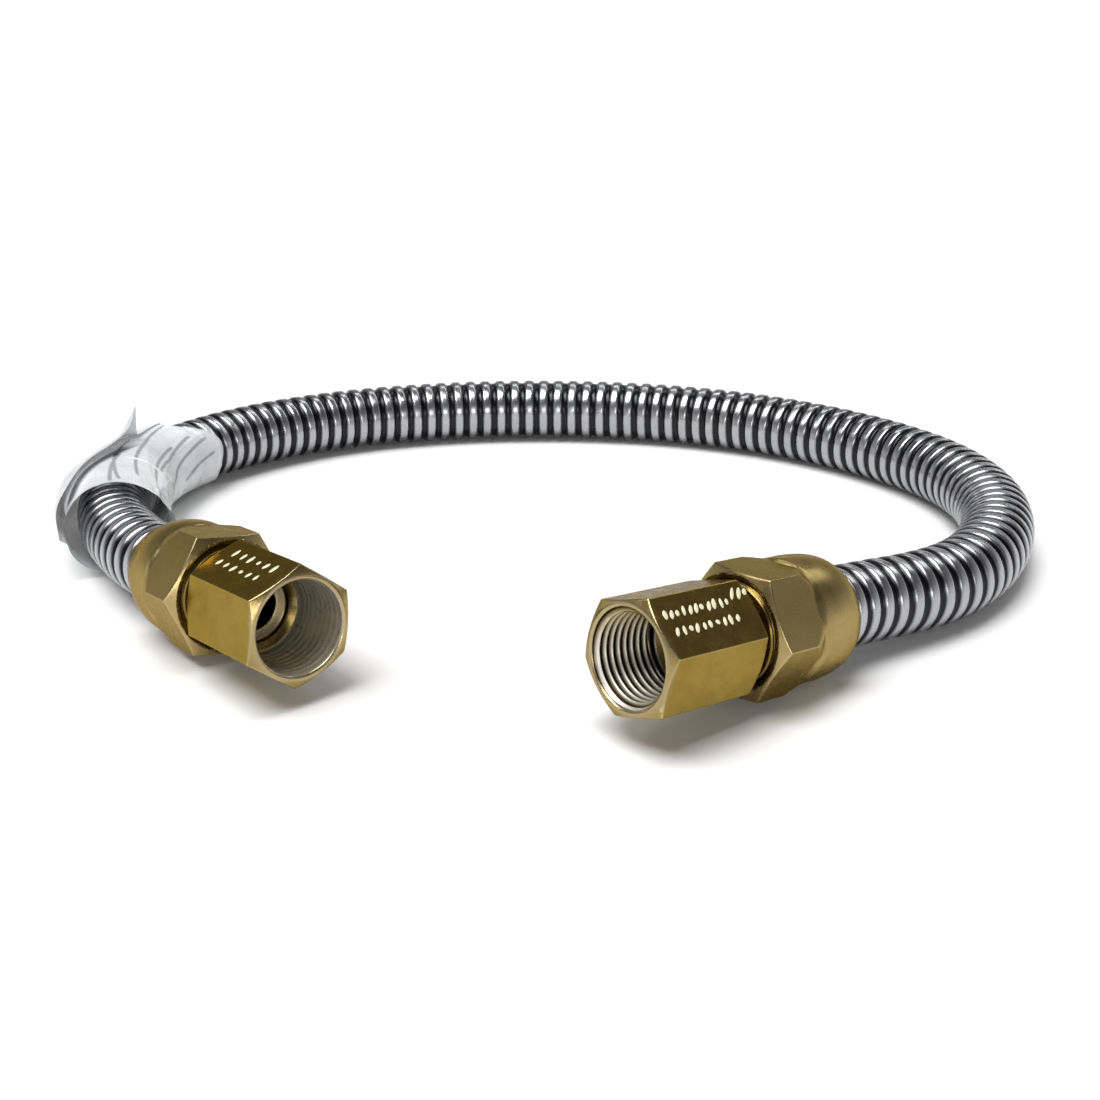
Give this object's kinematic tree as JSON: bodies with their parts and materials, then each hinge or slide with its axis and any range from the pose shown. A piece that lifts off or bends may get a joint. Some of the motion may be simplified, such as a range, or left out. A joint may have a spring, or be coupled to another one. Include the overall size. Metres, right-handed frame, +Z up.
{
  "type": "corrugated gas hose",
  "caption": "Flexible corrugated metal gas hose in an open loop, with a flare nut and a hexagonal pipe adaptor at each end and a film tag around the tube.",
  "frame": {"origin": "on the surface that the hose lies on, under the middle of the two fittings", "axes": "+Z up, +X from the left fitting to the right one, +Y away from the sockets towards the back of the loop"},
  "size_m": [0.2638, 0.24, 0.0329],
  "materials": {
    "tube_steel": "bright rolled stainless steel",
    "cuff_steel": "satin stainless steel",
    "nut_brass": "machined brass, slightly dulled",
    "adaptor_brass": "machined brass, slightly dulled",
    "tag_film": "translucent printed film with the print left out"
  },
  "bodies": {
    "hose": {"corrugated_hose": "tube_steel", "flare_cuff_a": "cuff_steel", "flare_cuff_b": "cuff_steel", "warning_tag": "tag_film"},
    "nut_a": {"flare_nut_a": "nut_brass"},
    "adaptor_a": {"pipe_adaptor_a": "adaptor_brass"},
    "nut_b": {"flare_nut_b": "nut_brass"},
    "adaptor_b": {"pipe_adaptor_b": "adaptor_brass"}
  },
  "joints": [
    {"name": "nut_a_spin", "type": "hinge", "parent": "hose", "child": "nut_a", "pos_m": [0.06503, -0.00203, 0.01494], "axis": [0.7562, 0.6459, -0.1045], "range_deg": [0, 2610]},
    {"name": "adaptor_a_unscrew", "type": "slide", "parent": "hose", "child": "adaptor_a", "axis": [-0.7562, -0.6459, 0.1045], "range_m": [0, 0.01161]},
    {"name": "nut_b_spin", "type": "hinge", "parent": "hose", "child": "nut_b", "pos_m": [-0.06545, 0.02193, 0.01483], "axis": [-0.6479, 0.7586, -0.0698], "range_deg": [0, 2610]},
    {"name": "adaptor_b_unscrew", "type": "slide", "parent": "hose", "child": "adaptor_b", "axis": [0.6479, -0.7586, 0.0698], "range_m": [0, 0.01161]}
  ],
  "couplings": [
    {"joint": "adaptor_a_unscrew", "follows": "nut_a_spin", "m_per_rad": 0.00025266},
    {"joint": "adaptor_b_unscrew", "follows": "nut_b_spin", "m_per_rad": 0.00025266}
  ]
}
